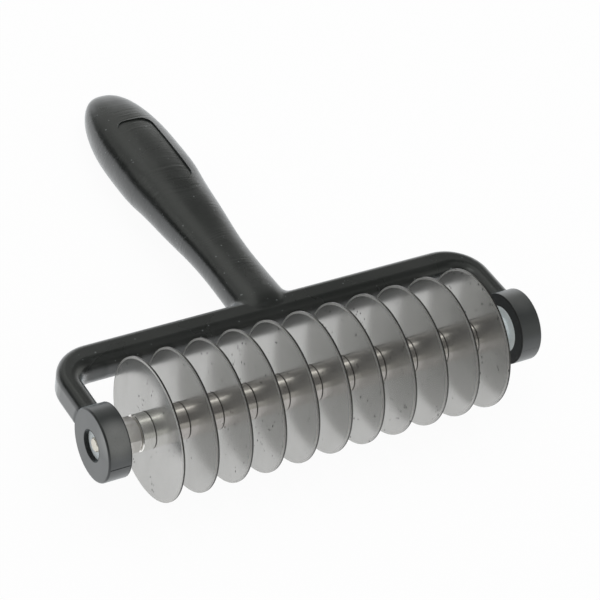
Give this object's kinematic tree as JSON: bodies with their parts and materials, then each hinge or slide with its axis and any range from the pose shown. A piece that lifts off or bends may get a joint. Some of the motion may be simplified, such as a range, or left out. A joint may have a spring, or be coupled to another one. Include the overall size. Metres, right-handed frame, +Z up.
{
  "type": "dough strip cutter",
  "caption": "Hand-held dough strip cutter: a row of steel cutting discs with spacers on one axle, turning in a black moulded yoke with a paddle-shaped grip.",
  "frame": {"origin": "middle of the tool's bounding box, on the table that the discs and the grip rest on", "axes": "+X along the axle, +Y from the cutting discs towards the grip's end, +Z up"},
  "size_m": [0.204, 0.228, 0.06],
  "materials": {
    "handle_plastic": "satin moulded",
    "disc_steel": "semi-polished, ground rim",
    "spacer_steel": "fine turned",
    "nut_steel": "bright",
    "axle_steel": "turned",
    "bush_nylon": "smooth"
  },
  "bodies": {
    "handle": {"yoke_handle": "handle_plastic", "left_bush": "bush_nylon", "right_bush": "bush_nylon"},
    "roller": {"axle_shaft": "axle_steel", "cutting_disc_01": "disc_steel", "cutting_disc_02": "disc_steel", "cutting_disc_03": "disc_steel", "cutting_disc_04": "disc_steel", "cutting_disc_05": "disc_steel", "cutting_disc_06": "disc_steel", "cutting_disc_07": "disc_steel", "cutting_disc_08": "disc_steel", "cutting_disc_09": "disc_steel", "cutting_disc_10": "disc_steel", "cutting_disc_11": "disc_steel", "spacer_01": "spacer_steel", "spacer_02": "spacer_steel", "spacer_03": "spacer_steel", "spacer_04": "spacer_steel", "spacer_05": "spacer_steel", "spacer_06": "spacer_steel", "spacer_07": "spacer_steel", "spacer_08": "spacer_steel", "spacer_09": "spacer_steel", "spacer_10": "spacer_steel", "left_end_collar": "spacer_steel", "left_clamp_nut": "nut_steel", "right_end_collar": "spacer_steel", "right_clamp_nut": "nut_steel"}
  },
  "joints": [
    {"name": "roller_spin", "type": "hinge", "parent": "handle", "child": "roller", "pos_m": [0, -0.08403, 0.03], "axis": [1, 0, 0], "continuous": true}
  ]
}
